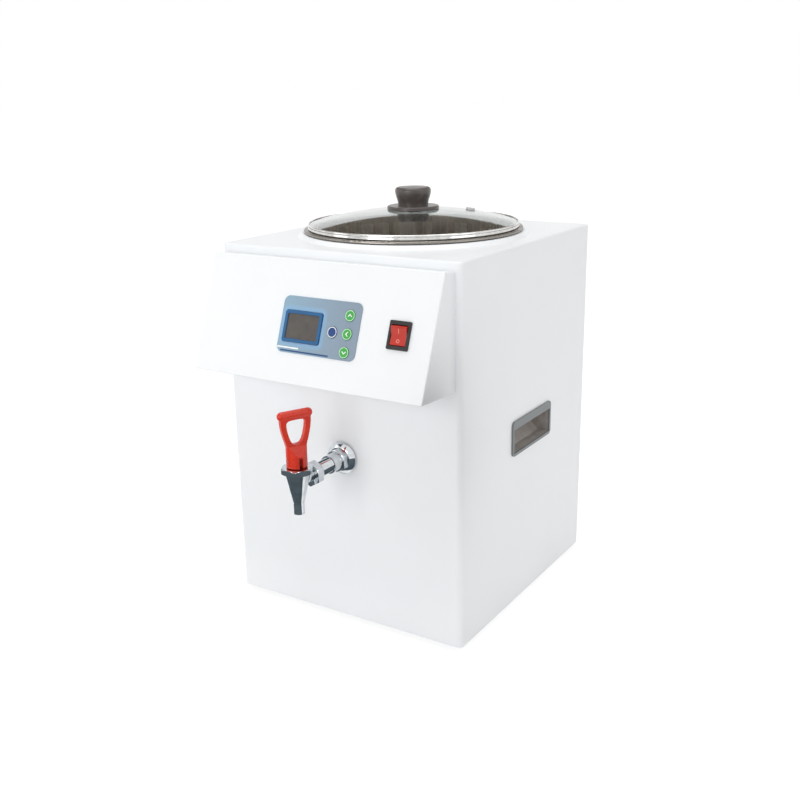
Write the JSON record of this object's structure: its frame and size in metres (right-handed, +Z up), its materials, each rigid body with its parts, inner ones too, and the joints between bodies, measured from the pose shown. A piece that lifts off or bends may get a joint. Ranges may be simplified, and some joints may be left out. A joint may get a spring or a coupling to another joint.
{
  "type": "paraffin dispenser",
  "caption": "Heated wax dispenser: white steel cabinet with a glass-lidded round tank, a sloped control head and a self-closing tap with a red lever.",
  "frame": {"origin": "centre of the underside of the cabinet's base plate; the rubber feet reach 6 mm lower", "axes": "+Z up; -Y is the front with the tap and the control head; +X is the right side as seen from the front"},
  "size_m": [0.3044, 0.4201, 0.4718],
  "materials": {
    "white_paint": "fine textured powder coat",
    "zinc_steel": "zinc plated",
    "black_rubber": "matte",
    "stainless": "satin stainless",
    "spring_steel": "drawn wire",
    "cast_alloy": "as cast",
    "mica_band": "sheet over mica",
    "mineral_wool": "felted",
    "phenolic": "moulded",
    "panel_film": "printed film, satin",
    "blue_frame": "moulded",
    "lcd_glass": "unlit display",
    "board_green": "solder mask",
    "brass": "turned",
    "black_plastic": "moulded",
    "navy_key": "soft touch",
    "green_key": "soft touch",
    "red_rocker": "polished",
    "grey_plastic": "fine grain",
    "chrome": "polished plate on brass",
    "red_gasket": "moulded silicone",
    "silicone": "moulded silicone",
    "red_handle": "moulded",
    "lid_glass": "tempered, clear",
    "dark_knob": "moulded phenolic",
    "vent_grey": "moulded silicone"
  },
  "bodies": {
    "cabinet": {"cabinet_wrap": "white_paint", "top_panel": "white_paint", "rear_panel": "white_paint", "base_plate": "zinc_steel", "feet": "black_rubber", "cabinet_screws": "zinc_steel", "wax_tank": "stainless", "tank_shelf": "zinc_steel", "tank_posts": "zinc_steel", "base_heater": "cast_alloy", "heater_band": "mica_band", "insulation_jacket": "mineral_wool", "temperature_probe": "stainless", "thermal_cutout": "phenolic", "tank_outlet": "cast_alloy", "tap_heater_block": "cast_alloy", "tap_heater_cartridge": "stainless", "control_head": "white_paint", "overlay_plate": "panel_film", "display_bezel": "blue_frame", "display_screen": "lcd_glass", "display_module": "board_green", "control_board": "board_green", "board_posts": "brass", "key_switches": "black_plastic", "switch_housing": "black_plastic", "switch_terminals": "brass", "side_grip_left": "grey_plastic", "side_grip_right": "grey_plastic", "power_inlet": "black_plastic", "inlet_pins": "brass", "power_supply": "zinc_steel", "solid_state_relay": "phenolic", "terminal_block": "phenolic", "tap_flange": "chrome", "shank_gaskets": "red_gasket", "shank_lock_nut": "brass", "shank_nut": "chrome", "shank_sleeve": "chrome", "tap_shank": "chrome", "union_nut": "chrome", "tap_body": "chrome", "tap_bonnet": "chrome"},
    "lid": {"lid_glass": "lid_glass", "lid_band": "stainless", "lid_knob": "dark_knob", "knob_screw": "dark_knob", "vent_grommet": "vent_grey"},
    "rocker": {"switch_rocker": "red_rocker"},
    "set_key": {"key_set": "navy_key"},
    "up_key": {"key_up": "green_key"},
    "left_key": {"key_left": "green_key"},
    "down_key": {"key_down": "green_key"},
    "tap_turn": {"spring_washer": "spring_steel"},
    "tap_stem": {"valve_stem": "spring_steel", "seat_cup": "silicone", "handle_pin": "spring_steel", "tap_spring": "spring_steel"},
    "tap_lever": {"tap_handle": "red_handle"}
  },
  "joints": [
    {"name": "lid_lift", "type": "slide", "parent": "cabinet", "child": "lid", "axis": [0, 0, 1], "range_m": [0, 0.12]},
    {"name": "power_rocker", "type": "hinge", "parent": "cabinet", "child": "rocker", "pos_m": [0.1055, -0.19799, 0.34514], "axis": [-1, 0, 0], "range_deg": [0, 20]},
    {"name": "set_press", "type": "slide", "parent": "cabinet", "child": "set_key", "axis": [0, 0.9355, -0.3533], "range_m": [0, 0.0005], "stiffness_N_per_m": 300, "springref_m": -0.0002},
    {"name": "up_press", "type": "slide", "parent": "cabinet", "child": "up_key", "axis": [0, 0.9355, -0.3533], "range_m": [0, 0.0005], "stiffness_N_per_m": 300, "springref_m": -0.0002},
    {"name": "left_press", "type": "slide", "parent": "cabinet", "child": "left_key", "axis": [0, 0.9355, -0.3533], "range_m": [0, 0.0005], "stiffness_N_per_m": 300, "springref_m": -0.0002},
    {"name": "down_press", "type": "slide", "parent": "cabinet", "child": "down_key", "axis": [0, 0.9355, -0.3533], "range_m": [0, 0.0005], "stiffness_N_per_m": 300, "springref_m": -0.0002},
    {"name": "tap_swivel", "type": "hinge", "parent": "cabinet", "child": "tap_turn", "pos_m": [0.004, -0.2375, 0.1962], "axis": [0, 0, 1], "continuous": true},
    {"name": "stem_lift", "type": "slide", "parent": "tap_turn", "child": "tap_stem", "axis": [0, 0, 1], "range_m": [0, 0.0051], "stiffness_N_per_m": 500, "springref_m": -0.003, "deforming": ["tap_spring"]},
    {"name": "lever_tilt", "type": "hinge", "parent": "tap_stem", "child": "tap_lever", "pos_m": [0.004, -0.2375, 0.2126], "axis": [0.4384, 0.8988, 0], "range_deg": [0, 35]}
  ],
  "couplings": [
    {"joint": "lever_tilt", "follows": "stem_lift", "rad_per_m": 119.78}
  ]
}
